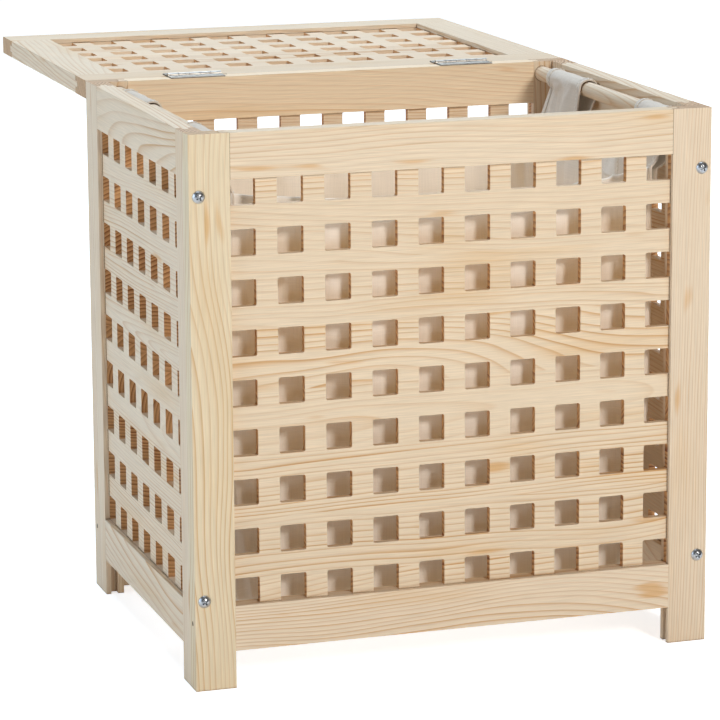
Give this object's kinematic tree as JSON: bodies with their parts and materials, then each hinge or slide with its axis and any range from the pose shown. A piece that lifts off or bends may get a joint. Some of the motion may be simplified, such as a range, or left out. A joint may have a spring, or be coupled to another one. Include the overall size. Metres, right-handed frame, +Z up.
{
  "type": "laundry hamper",
  "caption": "Box-shaped pine laundry hamper on short legs, with square-lattice panels, a lattice lid hinged at the back and folded right open, and a cotton bag hung by wide loops on two rods.",
  "frame": {"origin": "on the floor, straight below the middle of the hinge line at the top of the back", "axes": "+Z up, +Y from the front towards the back and along the folded-back lid, +X to the right seen from the front"},
  "size_m": [0.5, 0.7637, 0.5137],
  "materials": {
    "pine_front": "pale planed pine with a clear satin coat",
    "pine_side": "pale planed pine with a clear satin coat",
    "pine_lid": "pale planed pine with a clear satin coat",
    "pine_rod": "round pine dowel, planed and uncoated",
    "cotton": "undyed plain-weave cotton",
    "zinc": "bright zinc plate",
    "dark_steel": "dark round nail head"
  },
  "bodies": {
    "hamper": {"front_left_post": "pine_front", "front_right_post": "pine_front", "front_top_rail": "pine_front", "front_bottom_rail": "pine_front", "front_lattice": "pine_front", "back_left_post": "pine_front", "back_right_post": "pine_front", "back_top_rail": "pine_front", "back_bottom_rail": "pine_front", "back_lattice": "pine_front", "left_front_stile": "pine_side", "left_back_stile": "pine_side", "left_top_rail": "pine_side", "left_bottom_rail": "pine_side", "left_lattice": "pine_side", "right_front_stile": "pine_side", "right_back_stile": "pine_side", "right_top_rail": "pine_side", "right_bottom_rail": "pine_side", "right_lattice": "pine_side", "left_hinge_frame_leaf": "zinc", "left_hinge_pin": "zinc", "right_hinge_frame_leaf": "zinc", "right_hinge_pin": "zinc", "hinge_frame_screws": "zinc", "front_frame_screws": "zinc", "back_frame_screws": "zinc", "rail_nails": "dark_steel", "left_rod": "pine_rod", "right_rod": "pine_rod", "laundry_bag": "cotton", "left_front_loop": "cotton", "left_back_loop": "cotton", "right_front_loop": "cotton", "right_back_loop": "cotton"},
    "lid": {"lid_front_rail": "pine_lid", "lid_hinge_rail": "pine_lid", "lid_left_stile": "pine_lid", "lid_right_stile": "pine_lid", "lid_lattice": "pine_lid", "left_hinge_lid_leaf": "zinc", "right_hinge_lid_leaf": "zinc", "hinge_lid_screws": "zinc"}
  },
  "joints": [
    {"name": "lid_hinge", "type": "hinge", "parent": "hamper", "child": "lid", "pos_m": [0, 0, 0.5113], "axis": [1, 0, 0], "range_deg": [0, 180]}
  ]
}
